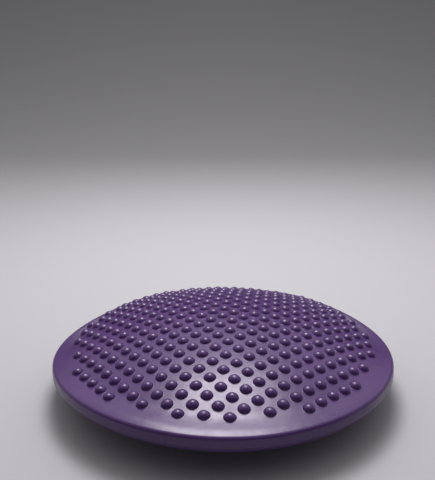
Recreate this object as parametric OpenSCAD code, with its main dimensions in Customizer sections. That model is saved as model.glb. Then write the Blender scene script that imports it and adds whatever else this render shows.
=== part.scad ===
// Wobble cushion: an inflated round balance disc with massage nubs on its top,
// a banded rim, a domed underside that stands on a small flat patch, and a
// self-sealing needle valve in the rim's side at the back.
// Millimetres, +Z up. The origin is on the floor, on the disc's axis.

/* [Disc] */
// Overall diameter
disc_d = 340; // [320:5:360]
// Height of the rim's lower edge above the floor
rim_lift = 24; // [22:1:26]
// Height of the rim band, from its lower edge to its top edge
band_h = 16; // [16:0.5:20]
// Rise of the crown above the rim's top edge, without the nubs
crown_rise = 30; // [24:0.5:34]
// Width of the plain margin between the crown and the rim's outside
margin_w = 18; // [16:1:22]
// Drop of the plain margin from the crown's edge to the rim's top edge
margin_drop = 3.5; // [3:0.5:5]
// Radius of the rim's rounded top edge
edge_r = 3.5; // [3:0.1:4]

/* [Skin] */
// Thickness of the moulded skin
skin_t = 4; // [3.5:0.1:4.5]
// Radius of the flat patch that the cushion stands on
patch_r = 60; // [50:1:65]
// Radius where the skin that flexes under a press ends
press_ring_r = 99; // [90:1:105]
// Radius where the skin that flexes in a fore-and-aft tilt ends
tilt_ring_r = 141; // [130:1:145]
// Gap between pieces that move against each other
body_gap = 0.3; // [0.2:0.1:0.5]
// Height of the weld between the two skins above the rim's lower edge
weld_lift = 6; // [5.8:0.1:6.2]
// Height of the weld bead
weld_h = 1.2; // [0.8:0.1:1.2]

/* [Nubs] */
// Distance between neighbouring nubs
nub_pitch = 15; // [14.6:0.1:18]
// Diameter of a nub at its foot
nub_d = 11; // [8:0.5:12]
// Height of a nub
nub_h = 4; // [3:0.5:5]
// Radius of the round field that holds the nubs' centres, measured along the crown
nub_field_r = 153.5; // [130:0.5:154]
// Turn of the square grid of nubs about the disc's axis
nub_turn = 39; // [0:1:90]

/* [Valve] */
// Height of the valve's axis above the rim's lower edge
valve_lift = 10.4; // [10.2:0.1:10.6]
// Outside diameter of the valve's sleeve
sleeve_d = 7; // [6.4:0.1:7]
// Length of the sleeve along the valve's axis
sleeve_l = 13; // [10:1:16]
// Outside diameter of the rubber plug's shank
plug_d = 4.8; // [4.2:0.1:5]
// Diameter of the needle's bore
needle_d = 2.2; // [1.8:0.1:2.6]
// Depth of the needle's bore behind its funnel
needle_depth = 9; // [6:1:10]

/* [Hidden] */
skin_colour = [0.36, 0.24, 0.50];
weld_colour = [0.28, 0.18, 0.40];
rubber_colour = [0.08, 0.08, 0.09];
big_fn = 240;
small_fn = 48;
arc_steps = 6;
disc_r = disc_d / 2;
top_edge_z = rim_lift + band_h;

// Crown: a sphere through the apex and the crown's edge
crown_edge_r = disc_r - margin_w;
crown_edge_z = top_edge_z + margin_drop;
crown_drop = crown_rise - margin_drop;
crown_r = (pow(crown_edge_r, 2) + pow(crown_drop, 2)) / (2 * crown_drop);
crown_centre_z = top_edge_z + crown_rise - crown_r;

// Belly: a sphere through the patch's edge that runs smoothly into the rim's foot
foot_r = band_h / 2;
foot_centre = [disc_r - foot_r, rim_lift + foot_r];
reach = pow(norm(foot_centre), 2) - pow(foot_r, 2) - pow(patch_r, 2);
spread = pow(foot_centre[1], 2) - pow(foot_r, 2);
belly_centre_z = (foot_centre[1] * reach
    + foot_r * sqrt(pow(reach, 2) + 4 * spread * pow(patch_r, 2))) / (2 * spread);
belly_centre = [0, belly_centre_z];
belly_r = norm([patch_r, belly_centre_z]);
foot_start = atan2(foot_centre[1] - belly_centre_z, foot_centre[0]);

// Rim: a rounded top edge that stands a little inside the round foot
edge_setback = 0.3;
edge_centre = [disc_r - edge_setback - edge_r, top_edge_z - edge_r];
margin_fall = atan(margin_drop / (margin_w - edge_setback - edge_r));
weld_z = rim_lift + weld_lift;
weld_proud = 0.4;
weld_inside = 2;

// Valve: a plug with a head and an inner flange, in a plain sleeve
valve_z = rim_lift + valve_lift;
sleeve_recess = 0.6;
head_d = sleeve_d - 1.2;
head_l = 1.6;
head_recess = 0.4;
flange_l = 2;
valve_room = sleeve_l + flange_l + 0.5;
funnel_l = 1;
funnel_d = needle_d + 1.6;

// Points along an arc from angle a0 to a1
function arc(centre, r, a0, a1) = [
    for (i = [0 : arc_steps])
        let (a = a0 + (a1 - a0) * i / arc_steps)
            centre + r * [cos(a), sin(a)]
];

// Angle at which an arc round the foot's centre reaches a height
function foot_angle(r, z) = -asin((foot_centre[1] - z) / r);

// Places of the nubs on the square grid round a nub on the axis, measured along the crown
half_count = ceil(nub_field_r / nub_pitch);
nub_places = [
    for (i = [-half_count : half_count], j = [-half_count : half_count])
        let (place = nub_pitch * [i, j])
            if (norm(place) < nub_field_r) place
];

// One nub: the cap of a ball, standing on a skin at z = 0 and rooted in it
module nub() {
    root = 1.5;
    ball_r = (pow(nub_d / 2, 2) + pow(nub_h, 2)) / (2 * nub_h);
    rotate_extrude($fn = small_fn)
        intersection() {
            translate([0, nub_h - ball_r]) circle(r = ball_r, $fn = small_fn);
            translate([0, -root]) square([nub_d, nub_h + root]);
        }
}

module nubs() {
    for (place = nub_places) {
        heading = nub_turn + atan2(place[1], place[0]);
        lean = norm(place) / crown_r * 180 / PI;
        translate([0, 0, crown_centre_z])
            rotate([0, lean, heading])
                translate([0, 0, crown_r]) nub();
    }
}

// The solid cap of the crown, down to just inside the skin
module crown_cap() {
    intersection() {
        translate([0, 0, crown_centre_z]) sphere(r = crown_r, $fn = big_fn);
        translate([0, 0, crown_edge_z - skin_t])
            cylinder(r = crown_edge_r, h = crown_drop + 2 * skin_t, $fn = big_fn);
    }
}

// Section of the upper skin outside the crown: margin, rounded edge and band
module upper_rim_section() {
    inside_r = disc_r - skin_t;
    inside_z = top_edge_z - skin_t;
    polygon(concat(
        [[crown_edge_r, crown_edge_z - skin_t], [crown_edge_r, crown_edge_z]],
        arc(edge_centre, edge_r, 90 - margin_fall, 0),
        arc(foot_centre, foot_r, 0, foot_angle(foot_r, weld_z + weld_h / 2)),
        arc(foot_centre, foot_r - skin_t, foot_angle(foot_r - skin_t, weld_z + weld_h / 2), 0),
        [[inside_r, inside_z - edge_r], [inside_r - edge_r, inside_z]]
    ));
}

// Section of the underside's skin between two radii
module belly_section(r0, r1) {
    intersection() {
        translate(belly_centre)
            difference() {
                circle(r = belly_r, $fn = big_fn);
                circle(r = belly_r - skin_t, $fn = big_fn);
            }
        translate([r0, 0]) square([r1 - r0, rim_lift + foot_r]);
    }
}

// Section of the lower skin from a radius on the underside out to the weld
module lower_rim_section(r0) {
    inner_r = belly_r - skin_t;
    inner_foot_r = foot_r - skin_t;
    polygon(concat(
        arc(belly_centre, belly_r, -acos(r0 / belly_r), foot_start),
        arc(foot_centre, foot_r, foot_start, foot_angle(foot_r, weld_z - weld_h / 2)),
        arc(foot_centre, inner_foot_r, foot_angle(inner_foot_r, weld_z - weld_h / 2), foot_start),
        arc(belly_centre, inner_r, foot_start, -acos(r0 / inner_r))
    ));
}

// The valve's axis, from its mouth in the rim's side at the back, as +Z
module at_valve() {
    translate([0, disc_r - sleeve_recess, valve_z]) rotate([-90, 0, 0]) children();
}

module floor_patch() {
    color(skin_colour) cylinder(r = patch_r, h = skin_t, $fn = big_fn);
}

module lower_skin_inner_ring() {
    color(skin_colour)
        rotate_extrude($fn = big_fn)
            belly_section(patch_r + body_gap, press_ring_r - body_gap / 2);
}

module lower_skin_middle_ring() {
    color(skin_colour)
        rotate_extrude($fn = big_fn)
            belly_section(press_ring_r + body_gap / 2, tilt_ring_r - body_gap / 2);
}

module lower_skin_rim() {
    color(skin_colour)
        rotate_extrude($fn = big_fn) lower_rim_section(tilt_ring_r + body_gap / 2);
}

module rim_weld() {
    outer_r = disc_r + weld_proud - edge_setback;
    color(weld_colour)
        difference() {
            translate([0, 0, weld_z - weld_h / 2]) cylinder(r = outer_r, h = weld_h, $fn = big_fn);
            translate([0, 0, weld_z - weld_h])
                cylinder(r = disc_r - skin_t - weld_inside, h = 2 * weld_h, $fn = big_fn);
        }
}

module upper_skin() {
    color(skin_colour)
        difference() {
            union() {
                crown_cap();
                nubs();
                rotate_extrude($fn = big_fn) upper_rim_section();
            }
            translate([0, 0, crown_centre_z]) sphere(r = crown_r - skin_t, $fn = big_fn);
            at_valve() translate([0, 0, -valve_room])
                cylinder(d = sleeve_d, h = 2 * valve_room, $fn = small_fn);
        }
}

module valve_sleeve() {
    color(skin_colour)
        at_valve() difference() {
            translate([0, 0, -sleeve_l]) cylinder(d = sleeve_d, h = sleeve_l, $fn = small_fn);
            translate([0, 0, -2 * sleeve_l]) cylinder(d = plug_d, h = 4 * sleeve_l, $fn = small_fn);
            translate([0, 0, -head_l - head_recess]) cylinder(d = head_d, h = sleeve_l, $fn = small_fn);
        }
}

module valve_plug() {
    plug_l = sleeve_l + flange_l;
    color(rubber_colour)
        at_valve() difference() {
            union() {
                translate([0, 0, -head_l - head_recess]) cylinder(d = head_d, h = head_l, $fn = small_fn);
                translate([0, 0, -plug_l]) cylinder(d = plug_d, h = plug_l - head_recess, $fn = small_fn);
                translate([0, 0, -plug_l]) cylinder(d = sleeve_d, h = flange_l, $fn = small_fn);
            }
            translate([0, 0, -head_recess - funnel_l - needle_depth])
                cylinder(d = needle_d, h = needle_depth + funnel_l, $fn = small_fn);
            translate([0, 0, -head_recess - funnel_l])
                cylinder(d1 = needle_d, d2 = funnel_d, h = funnel_l, $fn = small_fn);
        }
}

floor_patch();
lower_skin_inner_ring();
lower_skin_middle_ring();
lower_skin_rim();
rim_weld();
upper_skin();
valve_sleeve();
valve_plug();
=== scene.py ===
"""Looks of the wobble cushion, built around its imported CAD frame. Row frame, +Z up.
Sizes are in millimetres in the section below, and meshes are written in metres."""

import math

import bmesh
import bpy
import numpy as np
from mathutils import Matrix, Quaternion, Vector
from mathutils.geometry import delaunay_2d_cdt


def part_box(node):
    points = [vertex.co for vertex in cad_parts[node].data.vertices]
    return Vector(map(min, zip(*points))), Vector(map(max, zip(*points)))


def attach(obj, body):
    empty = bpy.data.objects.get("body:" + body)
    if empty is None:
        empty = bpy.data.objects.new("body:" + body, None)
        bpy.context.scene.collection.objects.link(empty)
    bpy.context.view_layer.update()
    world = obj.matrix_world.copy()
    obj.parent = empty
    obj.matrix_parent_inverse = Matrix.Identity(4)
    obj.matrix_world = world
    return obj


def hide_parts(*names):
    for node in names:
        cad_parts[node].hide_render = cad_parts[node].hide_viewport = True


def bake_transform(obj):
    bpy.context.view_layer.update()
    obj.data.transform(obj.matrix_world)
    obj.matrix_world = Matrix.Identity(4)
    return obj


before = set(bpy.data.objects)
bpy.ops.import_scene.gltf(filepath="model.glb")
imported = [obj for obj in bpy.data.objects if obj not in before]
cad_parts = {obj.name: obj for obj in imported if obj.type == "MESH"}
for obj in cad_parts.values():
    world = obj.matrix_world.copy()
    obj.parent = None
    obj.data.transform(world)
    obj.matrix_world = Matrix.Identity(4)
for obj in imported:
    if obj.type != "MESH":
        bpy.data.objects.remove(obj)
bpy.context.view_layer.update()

MM = 0.001

# ---------------------------------------------------------------- sizes (mm)
DISC_R = round(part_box("upper_skin")[1].x / MM)
RIM_LIFT = 24.0
BAND_H = 16.0
CROWN_RISE = 30.0
MARGIN_W = 18.0
MARGIN_DROP = 3.5
EDGE_R = 3.5
EDGE_SETBACK = 0.3
SKIN_T = 4.0
PATCH_R = 60.0
PRESS_RING_R = 99.0
TILT_RING_R = 141.0
WELD_LIFT = 6.0
WELD_H = 1.2
NUB_PITCH = 15.0
NUB_FOOT_R = 5.5
NUB_H = 4.0
NUB_FIELD_R = 153.5
NUB_TURN = math.radians(39)
NUB_FILLET = 0.15
VALVE_LIFT = 10.4
SLEEVE_R = 3.5
POCKET_DEPTH = 14.0
WELD_INSIDE = 2.0
BEND_R = 150.0
SAG_W = 24.0
VALVE_SECTOR = math.radians(38)

TOP_EDGE_Z = RIM_LIFT + BAND_H
CROWN_EDGE_R = DISC_R - MARGIN_W
CROWN_EDGE_Z = TOP_EDGE_Z + MARGIN_DROP
CROWN_DROP = CROWN_RISE - MARGIN_DROP
CROWN_R = (CROWN_EDGE_R**2 + CROWN_DROP**2) / (2 * CROWN_DROP)
CROWN_CENTRE_Z = TOP_EDGE_Z + CROWN_RISE - CROWN_R
FOOT_R = BAND_H / 2
FOOT = np.array([DISC_R - FOOT_R, RIM_LIFT + FOOT_R])
EDGE = np.array([DISC_R - EDGE_SETBACK - EDGE_R, TOP_EDGE_Z - EDGE_R])
REACH = FOOT @ FOOT - FOOT_R**2 - PATCH_R**2
SPREAD = FOOT[1] ** 2 - FOOT_R**2
BELLY_Z = (FOOT[1] * REACH + FOOT_R * math.sqrt(REACH**2 + 4 * SPREAD * PATCH_R**2)) / (2 * SPREAD)
BELLY_R = math.hypot(PATCH_R, BELLY_Z)
FOOT_START = math.atan2(FOOT[1] - BELLY_Z, FOOT[0])
WELD_Z = RIM_LIFT + WELD_LIFT
VALVE_Z = RIM_LIFT + VALVE_LIFT
AROUND = 400


def arc(centre, r, a0, a1, n):
    """n + 1 points along an arc, angles in radians."""
    a = np.linspace(a0, a1, n + 1)
    return np.column_stack([centre[0] + r * np.cos(a), centre[1] + r * np.sin(a)])


def foot_angle(r, z):
    return -math.asin((FOOT[1] - z) / r)


def belly_z(r, inset=0.0):
    return BELLY_Z - math.sqrt((BELLY_R - inset) ** 2 - r * r)


# ---------------------------------------------------------------- mesh helpers
def new_piece(name, points, faces, material, sharp=35):
    """A mesh object from points in millimetres."""
    mesh = bpy.data.meshes.new(name)
    mesh.from_pydata((np.asarray(points) * MM).tolist(), [], faces)
    work = bmesh.new()
    work.from_mesh(mesh)
    loose = [v for v in work.verts if not v.link_faces]
    bmesh.ops.delete(work, geom=loose, context="VERTS")
    bmesh.ops.recalc_face_normals(work, faces=work.faces)
    work.to_mesh(mesh)
    work.free()
    mesh.validate()
    mesh.shade_smooth()
    mesh.set_sharp_from_angle(angle=math.radians(sharp))
    mesh.materials.append(material)
    piece = bpy.data.objects.new(name, mesh)
    bpy.context.scene.collection.objects.link(piece)
    return piece


def revolve(profile, n=AROUND, closed=True):
    """Points and quads of a profile of (r, z) turned about Z."""
    k = len(profile)
    a = np.arange(n) * 2 * math.pi / n
    r, z = np.asarray(profile).T
    points = np.stack([np.outer(np.cos(a), r), np.outer(np.sin(a), r), np.tile(z, (n, 1))], -1)
    faces = [
        (i * k + j, (i + 1) % n * k + j, (i + 1) % n * k + (j + 1) % k, i * k + (j + 1) % k)
        for i in range(n)
        for j in range(k if closed else k - 1)
    ]
    return points.reshape(-1, 3), faces


# ---------------------------------------------------------------- upper skin
class Meridian:
    """The outside of the upper skin from its apex to the weld, by distance along it."""

    def __init__(self):
        tangent_at = math.asin(CROWN_EDGE_R / CROWN_R)
        corner = np.array([CROWN_EDGE_R, CROWN_EDGE_Z])
        fall = math.atan(MARGIN_DROP / (MARGIN_W - EDGE_SETBACK - EDGE_R))
        margin = EDGE + EDGE_R * np.array([math.sin(fall), math.cos(fall)])
        back = BEND_R * math.tan((tangent_at - fall) / 2)
        start = tangent_at - back / CROWN_R
        crown = arc((0, CROWN_CENTRE_Z), CROWN_R, math.pi / 2, math.pi / 2 - start, 300)
        bend_from = crown[-1]
        bend_to = corner + back * np.array([math.cos(fall), -math.sin(fall)])
        t = np.linspace(0, 1, 25)[1:, None]
        bend = (1 - t) ** 2 * bend_from + 2 * t * (1 - t) * corner + t**2 * bend_to
        flat = bend_to + np.linspace(0, 1, 30)[1:, None] * (margin - bend_to)
        edge = arc(EDGE, EDGE_R, math.pi / 2 - fall, 0, 24)[1:]
        side = arc(FOOT, FOOT_R, 0, foot_angle(FOOT_R, WELD_Z + WELD_H / 2), 12)
        path = np.concatenate([crown, bend, flat, edge, side])
        self.path = path
        step = np.linalg.norm(np.diff(path, axis=0), axis=1)
        self.s = np.concatenate([[0], np.cumsum(step)])
        self.edge_from = self.s[len(crown) + len(bend) + len(flat) - 1]
        self.edge_to = self.s[len(crown) + len(bend) + len(flat) + len(edge) - 1]
        self.end = self.s[-1]
        d = np.gradient(path, self.s, axis=0)
        self.normal = np.column_stack([-d[:, 1], d[:, 0]]) / np.linalg.norm(d, axis=1)[:, None]
        self.normal[0] = (0, 1)

    def s_on_side(self, z):
        """Distance along the meridian at a height on the rim's side."""
        side = self.s >= self.edge_from
        return np.interp(-z, -self.path[side, 1], self.s[side])

    def at(self, s, heading, lift=0.0):
        """Points in space at a distance along the meridian, a heading and a height off the skin."""
        r, z = (np.interp(s, self.s, self.path[:, k]) for k in (0, 1))
        nr, nz = (np.interp(s, self.s, self.normal[:, k]) for k in (0, 1))
        r, z = r + nr * lift, z + nz * lift
        z = z + uneven(r, heading)
        return np.column_stack([r * np.cos(heading), r * np.sin(heading), z])


def uneven(r, heading):
    """The slight waviness of an inflated skin: none at the apex or on the band."""
    share = np.clip((r - 90) / 55, 0, 1) * np.clip((DISC_R - 3 - r) / 16, 0, 1)
    wave = 0.25 * np.sin(3 * heading + 0.7) + 0.18 * np.sin(5 * heading + 2.1 + r * 0.02)
    wave += 0.12 * np.sin(9 * heading - 1.3 + r * 0.05)
    return share * wave


def sagged(points):
    """The soft rim out of true: it rises in front and sags at the sides, but not round the valve."""
    p = np.array(points, dtype=float)
    h = np.arctan2(p[:, 1], p[:, 0])
    from_valve = (h + math.pi / 2) % (2 * math.pi) - math.pi
    away = 1 - np.exp(-((from_valve / VALVE_SECTOR) ** 4))
    rim = np.clip((np.hypot(p[:, 0], p[:, 1]) - TILT_RING_R) / SAG_W, 0, 1)
    lift = 0.3 - 1.4 * np.sin(h) - 2.5 * np.cos(2 * h) + 1.1 * np.sin(2 * h)
    lift += 0.3 * np.cos(3 * h) - 1.9 * np.sin(3 * h)
    p[:, 2] += away * rim * rim * (3 - 2 * rim) * lift
    return p


def nub_profile():
    """Distances from a nub's axis and heights off the skin, from its foot up to just below its top."""
    ball_r = (NUB_FOOT_R**2 + NUB_H**2) / (2 * NUB_H)
    ball_z = NUB_H - ball_r
    reach = math.sqrt((ball_r + NUB_FILLET) ** 2 - (NUB_FILLET - ball_z) ** 2)
    sweep = math.atan2(reach, NUB_FILLET - ball_z)
    foot = [
        (reach - NUB_FILLET * math.sin(a), NUB_FILLET - NUB_FILLET * math.cos(a))
        for a in np.linspace(0, sweep, 3)
    ]
    ball = [
        (ball_r * math.sin(a), ball_z + ball_r * math.cos(a))
        for a in np.linspace(sweep, 0, 7)[1:-1]
    ]
    return [(reach + 0.4, 0.0)] + foot + ball


def nub_places():
    """The nubs' centres, in flat coordinates measured along the crown from its apex."""
    half = math.ceil(NUB_FIELD_R / NUB_PITCH)
    i, j = np.mgrid[-half : half + 1, -half : half + 1].reshape(2, -1)
    p = NUB_PITCH * np.column_stack([i, j])
    p = p[np.hypot(*p.T) < NUB_FIELD_R]
    c, s = math.cos(NUB_TURN), math.sin(NUB_TURN)
    return p @ np.array([[c, s], [-s, c]])


def clear_of(points, centres, distance):
    gap = np.linalg.norm(points[:, None] - centres[None], axis=2).min(axis=1)
    return points[gap > distance]


def triangulate(points, edges):
    """Triangles over the points, which keep the given edges."""
    _, _, faces, origin, _, _ = delaunay_2d_cdt([Vector(p) for p in points], edges, [], 0, 1e-6)
    index = [o[0] for o in origin]
    return [tuple(index[v] for v in f) for f in faces]


def loop_edges(start, n):
    return [(start + i, start + (i + 1) % n) for i in range(n)]


def upper_skin_mesh():
    """The whole upper skin: crown with its nubs, margin, band with the valve's hole, and inside."""
    m = Meridian()
    centres = nub_places()
    sides = 24
    turn = np.arange(sides) * 2 * math.pi / sides
    circle = np.column_stack([np.cos(turn), np.sin(turn)])
    profile = nub_profile()
    foot_r = profile[0][0]
    margin_strip = 8.5
    crown_s = m.edge_from - margin_strip
    around = np.arange(AROUND) * 2 * math.pi / AROUND
    ring = np.column_stack([np.cos(around), np.sin(around)])

    # Flat sheet with a round hole under each nub
    border = ring * crown_s
    feet = (centres[:, None] + foot_r * circle[None]).reshape(-1, 2)
    ring_insets, fill_inset = (2.2, 5.0), 7.0
    fill_pitch, foot_gap = 3.8, 1.1
    rings = [ring[k::2] * (crown_s - inset) for k, inset in enumerate(ring_insets)]
    i, j = np.mgrid[-60:61, -60:61].reshape(2, -1)
    hexes = fill_pitch * np.column_stack([i + 0.5 * (j % 2), j * math.sqrt(3) / 2])
    hexes = hexes[np.hypot(*hexes.T) < crown_s - fill_inset]
    fill = clear_of(np.concatenate(rings + [hexes]), centres, foot_r + foot_gap)
    flat = np.concatenate([border, feet, fill])
    edges = loop_edges(0, AROUND)
    for k in range(len(centres)):
        edges += loop_edges(AROUND + k * sides, sides)
    faces = triangulate(flat, edges)
    middles = np.array([flat[list(f)].mean(axis=0) for f in faces])
    gap = np.min([np.hypot(*(middles - c).T) for c in centres], axis=0)
    faces = [f for f, g in zip(faces, gap) if g > foot_r * 0.99]
    points = [m.at(np.hypot(*flat.T), np.arctan2(flat[:, 1], flat[:, 0]))]
    count = len(flat)

    # Nubs, from the holes' edges up
    for k, c in enumerate(centres):
        below = [AROUND + k * sides + t for t in range(sides)]
        for rho, height in profile[1:]:
            p = c + rho * circle
            points.append(m.at(np.hypot(*p.T), np.arctan2(p[:, 1], p[:, 0]), height))
            above = list(range(count, count + sides))
            faces += [
                (below[t], below[(t + 1) % sides], above[(t + 1) % sides], above[t])
                for t in range(sides)
            ]
            below = above
            count += sides
        points.append(m.at(np.array([math.hypot(*c)]), np.array([math.atan2(c[1], c[0])]), NUB_H))
        faces += [(below[t], below[(t + 1) % sides], count) for t in range(sides)]
        count += 1

    # Margin, edge and band, with a window left open round the valve
    steps, window_half = 8, 3
    stations = np.concatenate([
        np.linspace(crown_s, m.edge_from, steps + 1)[1:],
        np.linspace(m.edge_from, m.edge_to, steps + 1)[1:],
        np.linspace(m.edge_to, m.end, steps + 1)[1:],
    ])
    first_open = steps + steps // 2
    window = range(AROUND // 4 - window_half, AROUND // 4 + window_half)
    rows = [list(range(AROUND))]
    for s in stations:
        points.append(m.at(np.full(AROUND, s), around))
        rows.append(list(range(count, count + AROUND)))
        count += AROUND
    last = len(rows) - 1
    for b in range(last):
        for i in range(AROUND):
            if b >= first_open and i in window:
                continue
            n = (i + 1) % AROUND
            faces.append((rows[b][i], rows[b][n], rows[b + 1][n], rows[b + 1][i]))

    # Window with the valve's hole, in flat coordinates along the band
    top, left, right = first_open, window[0], window[-1] + 1
    border_ids = [rows[top][i] for i in range(left, right)]
    border_ids += [rows[b][right] for b in range(top, last)]
    border_ids += [rows[last][i] for i in range(right, left, -1)]
    border_ids += [rows[b][left] for b in range(last, top, -1)]
    window_edge = np.concatenate(points)[border_ids]
    along = (np.arctan2(window_edge[:, 1], window_edge[:, 0]) - math.pi / 2) * DISC_R
    s_border = np.concatenate([
        np.full(right - left, stations[top - 1]),
        stations[top - 1 : last - 1],
        np.full(right - left, stations[last - 1]),
        stations[last - 1 : top - 1 : -1],
    ])
    hole_n, hole_gap = 32, 0.7
    a = np.arange(hole_n) * 2 * math.pi / hole_n
    hole = np.column_stack([SLEEVE_R * np.cos(a), VALVE_Z + SLEEVE_R * np.sin(a)])
    hole[:, 1] = m.s_on_side(hole[:, 1])
    middle = np.array([0.0, m.s_on_side(VALVE_Z)])
    near_ids = [rows[b][i] for b in range(top + 1, last) for i in range(left + 1, right)]
    near = np.array([
        ((2 * math.pi * i / AROUND - math.pi / 2) * DISC_R, stations[b - 1])
        for b in range(top + 1, last)
        for i in range(left + 1, right)
    ])
    clear = np.hypot(*(near - middle).T) > SLEEVE_R + hole_gap
    flat = np.concatenate([np.column_stack([along, s_border]), hole, near[clear]])
    edges = loop_edges(0, len(border_ids)) + loop_edges(len(border_ids), hole_n)
    ids = border_ids + list(range(count, count + hole_n))
    ids += [v for v, keep in zip(near_ids, clear) if keep]
    wall = m.at(hole[:, 1], math.pi / 2 + hole[:, 0] / DISC_R)
    points.append(wall)
    count += hole_n
    hole_ids = set(ids[len(border_ids) : len(border_ids) + hole_n])
    for f in triangulate(flat, edges):
        face = tuple(ids[v] for v in f)
        if not hole_ids.issuperset(face):
            faces.append(face)

    # Blind pocket that holds the valve
    deep = wall.copy()
    deep[:, 1] = DISC_R - POCKET_DEPTH
    points.append(deep)
    front = list(range(count - hole_n, count))
    back = list(range(count, count + hole_n))
    count += hole_n
    faces += [
        (front[t], front[(t + 1) % hole_n], back[(t + 1) % hole_n], back[t])
        for t in range(hole_n)
    ]
    faces.append(tuple(reversed(back)))

    # Inside of the skin, from the weld back up to the apex
    inner_r = FOOT_R - SKIN_T
    low = arc(FOOT, inner_r, foot_angle(inner_r, WELD_Z + WELD_H / 2), 0, 5)
    wall_r, roof_z = DISC_R - SKIN_T, TOP_EDGE_Z - SKIN_T
    bevel, bulge = 2.0, 0.6
    corner = [(wall_r, roof_z - bevel), (wall_r - bulge, roof_z - bulge), (wall_r - bevel, roof_z)]
    start = math.asin((CROWN_EDGE_R - bevel) / CROWN_R)
    dome = arc((0, CROWN_CENTRE_Z), CROWN_R - SKIN_T, math.pi / 2 - start, math.pi / 2, 14)[:-1]
    below = rows[last]
    for r, z in np.concatenate([low, corner, dome]):
        points.append(np.column_stack([r * ring, np.full(AROUND, z)]))
        above = list(range(count, count + AROUND))
        faces += [
            (below[i], below[(i + 1) % AROUND], above[(i + 1) % AROUND], above[i])
            for i in range(AROUND)
        ]
        below = above
        count += AROUND
    points.append(np.array([[0, 0, CROWN_CENTRE_Z + CROWN_R - SKIN_T]]))
    faces += [(below[i], below[(i + 1) % AROUND], count) for i in range(AROUND)]
    return sagged(np.concatenate(points)), faces


# ---------------------------------------------------------------- lower skin, weld and valve
GROOVE_W = 1.6
GROOVE_D = 0.7
RING_STEP = 7.0
LOWER_T = 2.6


def grooved_belly(r0, r1, grooves):
    """Outside of the underside between two radii, with rounded grooves at the given radii."""
    out = []
    for r in np.unique(np.concatenate([
        np.arange(r0, r1, 2.5), [r1], *[g + GROOVE_W * np.linspace(-0.5, 0.5, 7) for g in grooves]
    ])):
        if not r0 <= r <= r1:
            continue
        dip = sum(
            0.5 * GROOVE_D * (1 + math.cos(2 * math.pi * (r - g) / GROOVE_W))
            for g in grooves
            if abs(r - g) < GROOVE_W / 2
        )
        out.append((r, belly_z(r) + dip))
    return out


def belly_ring(name, r0, r1, material):
    """One flexing ring of the underside, with grip grooves and a half groove at each end."""
    count = round((r1 - r0) / RING_STEP)
    grooves = np.linspace(r0, r1, count + 1)
    outside = grooved_belly(r0, r1, grooves)
    inside = [(r, belly_z(r) + LOWER_T) for r in np.linspace(r1, r0, 9)]
    return new_piece(name, *revolve(outside + inside), material)


def floor_patch(material):
    """The flat patch under the cushion: a plain centre, then round grip grooves."""
    grooves = np.linspace(12, PATCH_R, 7)
    outside = [(0.001, 0.0)]
    for g in grooves[:-1]:
        outside += [
            (g + GROOVE_W * t, 0.5 * GROOVE_D * (1 + math.cos(2 * math.pi * t)))
            for t in np.linspace(-0.5, 0.5, 7)
        ]
    outside += [
        (PATCH_R - GROOVE_W * t, 0.5 * GROOVE_D * (1 + math.cos(2 * math.pi * t)))
        for t in (0.5, 0.33, 0.17, 0.0)
    ]
    inside = [(PATCH_R, LOWER_T), (0.001, LOWER_T)]
    return new_piece("floor_patch_skin", *revolve(outside + inside, 180), material)


def rim_ring(material):
    """The lower skin from the last flexing ring out to the weld."""
    grooves = np.linspace(TILT_RING_R, 156.0, 3)
    split = FOOT[0] + FOOT_R * math.cos(FOOT_START)
    outside = grooved_belly(TILT_RING_R, split - 1.0, grooves)
    low = WELD_Z - WELD_H / 2
    outside += arc(FOOT, FOOT_R, FOOT_START, foot_angle(FOOT_R, low), 10).tolist()
    inner_r = FOOT_R - SKIN_T
    inside = arc(FOOT, inner_r, foot_angle(inner_r, low), FOOT_START, 6).tolist()
    inside += [(r, belly_z(r) + LOWER_T + 0.6) for r in np.linspace(158, TILT_RING_R, 5)]
    points, faces = revolve(outside + inside)
    return new_piece("lower_skin_rim_ring", sagged(points), faces, material)


def weld_bead(material):
    """The flash line where the two skins are joined, hardly proud of the band."""
    face_r = FOOT[0] + FOOT_R * math.cos(foot_angle(FOOT_R, WELD_Z))
    half = WELD_H / 2
    bulge = [
        (face_r - 0.02 + 0.22 * math.cos(t), WELD_Z + half * math.sin(t))
        for t in np.linspace(-math.pi / 2, math.pi / 2, 9)
    ]
    inside_r = DISC_R - SKIN_T - WELD_INSIDE
    inside = [(inside_r, WELD_Z + half), (inside_r, WELD_Z - half)]
    points, faces = revolve(bulge + inside)
    return new_piece("rim_weld_bead", sagged(points), faces, material)


def at_valve(points):
    """From the valve's own axis, +Z out of its mouth, to the row frame."""
    p = np.asarray(points)
    return np.column_stack([-p[:, 0], DISC_R + p[:, 2], VALVE_Z + p[:, 1]])


def valve_sleeve(material):
    """The moulded socket: a rounded lip round a counterbore and a plain bore."""
    lip = [(SLEEVE_R - 0.5 + 0.5 * math.cos(t), -0.75 + 0.5 * math.sin(t))
           for t in np.linspace(0, math.pi / 2, 5)]
    mouth = [(3.05 - 0.15 * math.cos(t), -0.4 + 0.15 * math.sin(t))
             for t in np.linspace(math.pi / 2, 0, 4)]
    bore = [(2.9, -2.6), (2.4, -2.6), (2.4, -13.6), (SLEEVE_R, -13.6)]
    points, faces = revolve(lip + mouth + bore, 64)
    return new_piece("valve_sleeve_ring", at_valve(points), faces, material)


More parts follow.
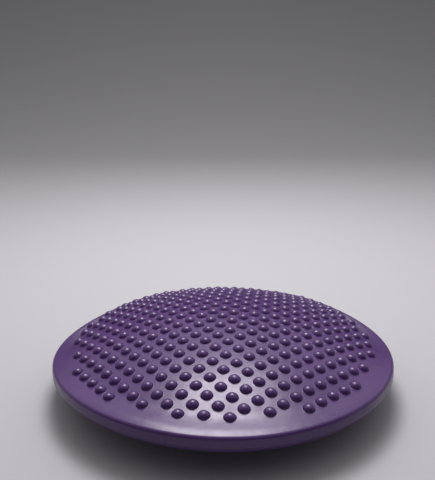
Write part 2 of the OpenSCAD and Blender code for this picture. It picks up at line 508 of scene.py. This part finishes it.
def valve_plug(material):
    """The rubber plug: a domed head with a funnel that leads to the needle's bore."""
    head = [(2.86, -2.55), (2.86, -1.3)]
    head += [(2.56 + 0.3 * math.cos(t), -1.3 + 0.3 * math.sin(t)) for t in np.linspace(0, 1.4, 5)[1:]]
    head += [(2.2, -0.93), (1.95, -0.90)]
    funnel = [(1.78, -0.96), (1.55, -1.25), (1.3, -1.7), (1.1, -2.2), (1.1, -11.0), (0.001, -11.2)]
    tail = [(0.001, -15.4), (3.1, -15.4), (3.3, -15.1), (3.3, -13.7), (2.36, -13.7), (2.36, -2.55)]
    points, faces = revolve(head + funnel + tail, 64)
    return new_piece("valve_plug_rubber", at_valve(points), faces, material)


# ---------------------------------------------------------------- materials
class Nodes:
    """A short way to write a material's node tree."""

    def __init__(self, name):
        self.material = bpy.data.materials.new(name)
        self.material.use_nodes = True
        self.tree = self.material.node_tree
        self.shader = self.tree.nodes["Principled BSDF"]
        self.place = self.add("ShaderNodeTexCoord").outputs["Object"]

    def add(self, kind, **values):
        node = self.tree.nodes.new(kind)
        for key, value in values.items():
            if key.startswith("in_"):
                node.inputs[key[3:].replace("_", " ")].default_value = value
            else:
                setattr(node, key, value)
        return node

    def link(self, a, b):
        self.tree.links.new(a, b)

    def noise(self, scale, detail=2.0, rough=0.5):
        node = self.add("ShaderNodeTexNoise", in_Scale=scale, in_Detail=detail, in_Roughness=rough)
        self.link(self.place, node.inputs["Vector"])
        return node.outputs["Fac"]

    def remap(self, value, low, high, to_low, to_high):
        node = self.add("ShaderNodeMapRange")
        for k, v in zip((1, 2, 3, 4), (low, high, to_low, to_high)):
            node.inputs[k].default_value = v
        self.link(value, node.inputs[0])
        return node.outputs[0]

    def mix(self, factor, a, b):
        node = self.add("ShaderNodeMix", data_type="RGBA")
        self.link(factor, node.inputs[0])
        for k, v in ((6, a), (7, b)):
            if isinstance(v, tuple):
                node.inputs[k].default_value = (*v, 1)
            else:
                self.link(v, node.inputs[k])
        return node.outputs[2]

    def add_up(self, a, b):
        node = self.add("ShaderNodeMath", operation="ADD")
        self.link(a, node.inputs[0])
        self.link(b, node.inputs[1])
        return node.outputs[0]

    def bump(self, height, strength, distance, after=None):
        node = self.add("ShaderNodeBump", in_Strength=strength, in_Distance=distance)
        self.link(height, node.inputs["Height"])
        if after is not None:
            self.link(after, node.inputs["Normal"])
        return node.outputs["Normal"]

    def finish(self, colour, roughness, normal):
        self.link(colour, self.shader.inputs["Base Color"])
        self.link(roughness, self.shader.inputs["Roughness"])
        self.link(normal, self.shader.inputs["Normal"])
        return self.material


def vinyl(name, deep, light):
    """Satin moulded PVC: cloudy pigment, a fine matt grain, faint smears and an uneven gloss."""
    n = Nodes(name)
    clouds = n.remap(n.noise(22, 4, 0.6), 0.3, 0.7, 0, 1)
    speck = n.remap(n.noise(900, 2, 0.6), 0.35, 0.75, 0, 0.35)
    colour = n.mix(n.add_up(clouds, speck), deep, light)
    smears = n.remap(n.noise(70, 5, 0.65), 0.35, 0.7, 0.27, 0.36)
    grain = n.bump(n.noise(1500, 2, 0.5), 0.10, 0.0002)
    swell = n.bump(n.noise(60, 2, 0.5), 0.12, 0.002, grain)
    n.shader.inputs["IOR"].default_value = 1.52
    return n.finish(colour, smears, swell)


def rubber(name):
    """Matt black rubber with a dusty bloom."""
    n = Nodes(name)
    bloom = n.remap(n.noise(500, 4, 0.6), 0.4, 0.75, 0, 1)
    colour = n.mix(bloom, (0.006, 0.006, 0.007), (0.022, 0.021, 0.022))
    rough = n.remap(n.noise(900, 3, 0.6), 0.3, 0.7, 0.55, 0.75)
    return n.finish(colour, rough, n.bump(n.noise(4000, 3, 0.6), 0.25, 0.0001))


def plain(name, colour, roughness):
    n = Nodes(name)
    n.shader.inputs["Base Color"].default_value = (*colour, 1)
    n.shader.inputs["Roughness"].default_value = roughness
    return n.material


# ---------------------------------------------------------------- pieces
skin = vinyl("skin_vinyl", (0.056, 0.0152, 0.110), (0.068, 0.0202, 0.132))
weld = vinyl("weld_vinyl", (0.044, 0.012, 0.084), (0.053, 0.0155, 0.101))
black_rubber = rubber("valve_rubber")

upper = new_piece("upper_skin_shell", *upper_skin_mesh(), skin)
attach(upper, "top")
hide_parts("upper_skin")

patch = floor_patch(skin)
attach(patch, "base")
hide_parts("floor_patch")

press_ring = belly_ring("press_ring_skin", PATCH_R, PRESS_RING_R, skin)
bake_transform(press_ring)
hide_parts("lower_skin_inner_ring")

tilt_ring = belly_ring("tilt_ring_skin", PRESS_RING_R, TILT_RING_R, skin)
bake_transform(tilt_ring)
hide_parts("lower_skin_middle_ring")

rim = rim_ring(skin)
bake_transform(rim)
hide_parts("lower_skin_rim")

bead = weld_bead(weld)
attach(bead, "top")
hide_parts("rim_weld")

sleeve = valve_sleeve(weld)
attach(sleeve, "top")
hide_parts("valve_sleeve")

plug = valve_plug(black_rubber)
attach(plug, "top")
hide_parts("valve_plug")


# ---------------------------------------------------------------- stage, lights and camera
def stage_sweep():
    """A pale floor that curves up into a back wall."""
    floor_half, wall_y, wall_h, bend = 4000.0, 2600.0, 1300.0, 900.0
    section = [(-2500.0, 0.0)]
    section += [
        (wall_y - bend + bend * math.sin(a), bend - bend * math.cos(a))
        for a in np.linspace(0, math.pi / 2, 24)
    ]
    section += [(wall_y, wall_h)]
    points = [(x, y, z) for y, z in section for x in (-floor_half, floor_half)]
    faces = [(2 * i, 2 * i + 1, 2 * i + 3, 2 * i + 2) for i in range(len(section) - 1)]
    sweep = new_piece("sweep", points, faces, plain("pale_paper", (0.45, 0.45, 0.46), 0.8), sharp=180)


def area_light(name, place, aim, size, power, colour=(1, 1, 1)):
    data = bpy.data.lights.new(name, "AREA")
    data.shape, data.size, data.size_y = "RECTANGLE", *size
    data.energy, data.color = power, colour
    lamp = bpy.data.objects.new(name, data)
    lamp.location = place
    lamp.rotation_euler = (Vector(aim) - Vector(place)).to_track_quat("-Z", "Y").to_euler()
    bpy.context.scene.collection.objects.link(lamp)
    return lamp


stage_sweep()
area_light("softbox", (0.01, 0.38, 1.10), (0.01, 0.38, 0), (0.56, 0.66), 9.5, (1, 0.965, 1))
area_light("window", (-0.03, 0.46, 1.12), (-0.03, 0.46, 0), (0.34, 0.26), 3.0, (1, 0.965, 1))


def studio_world():
    """A room that is bright overhead and behind, and dim low down in front."""
    world = bpy.data.worlds.new("studio")
    world.use_nodes = True
    tree = world.node_tree
    background = tree.nodes["Background"]
    place = tree.nodes.new("ShaderNodeTexCoord")
    dot = tree.nodes.new("ShaderNodeVectorMath")
    dot.operation = "DOT_PRODUCT"
    dot.inputs[1].default_value = (0.0, 0.75, 0.66)
    ramp = tree.nodes.new("ShaderNodeMapRange")
    for k, v in zip((1, 2, 3, 4), (-0.05, 1.0, 0.11, 0.95)):
        ramp.inputs[k].default_value = v
    tree.links.new(place.outputs["Generated"], dot.inputs[0])
    tree.links.new(dot.outputs["Value"], ramp.inputs[0])
    tree.links.new(ramp.outputs[0], background.inputs["Strength"])
    background.inputs["Color"].default_value = (1.0, 0.98, 1.0, 1)
    bpy.context.scene.world = world


studio_world()
bpy.context.scene.view_settings.view_transform = "Standard"

CAMERA_PLACE = (0.0, -565.9, 282.2 + RIM_LIFT)
CAMERA_YAW, CAMERA_PITCH, CAMERA_ROLL = (math.radians(a) for a in (-0.46, 15.37, -0.38))
PIXELS_HIGH, FOCAL_PIXELS = 480, 598.7
cam_data = bpy.data.cameras.new("camera")
cam_data.sensor_width = 36
cam_data.lens = FOCAL_PIXELS / PIXELS_HIGH * cam_data.sensor_width
cam_data.clip_start = 0.01
camera = bpy.data.objects.new("camera", cam_data)
camera.location = Vector(CAMERA_PLACE) * MM
forward = Vector((
    math.sin(CAMERA_YAW) * math.cos(CAMERA_PITCH),
    math.cos(CAMERA_YAW) * math.cos(CAMERA_PITCH),
    -math.sin(CAMERA_PITCH),
))
camera.rotation_euler = (forward.to_track_quat("-Z", "Y") @ Quaternion((0, 0, 1), CAMERA_ROLL)).to_euler()
bpy.context.scene.collection.objects.link(camera)
bpy.context.scene.camera = camera
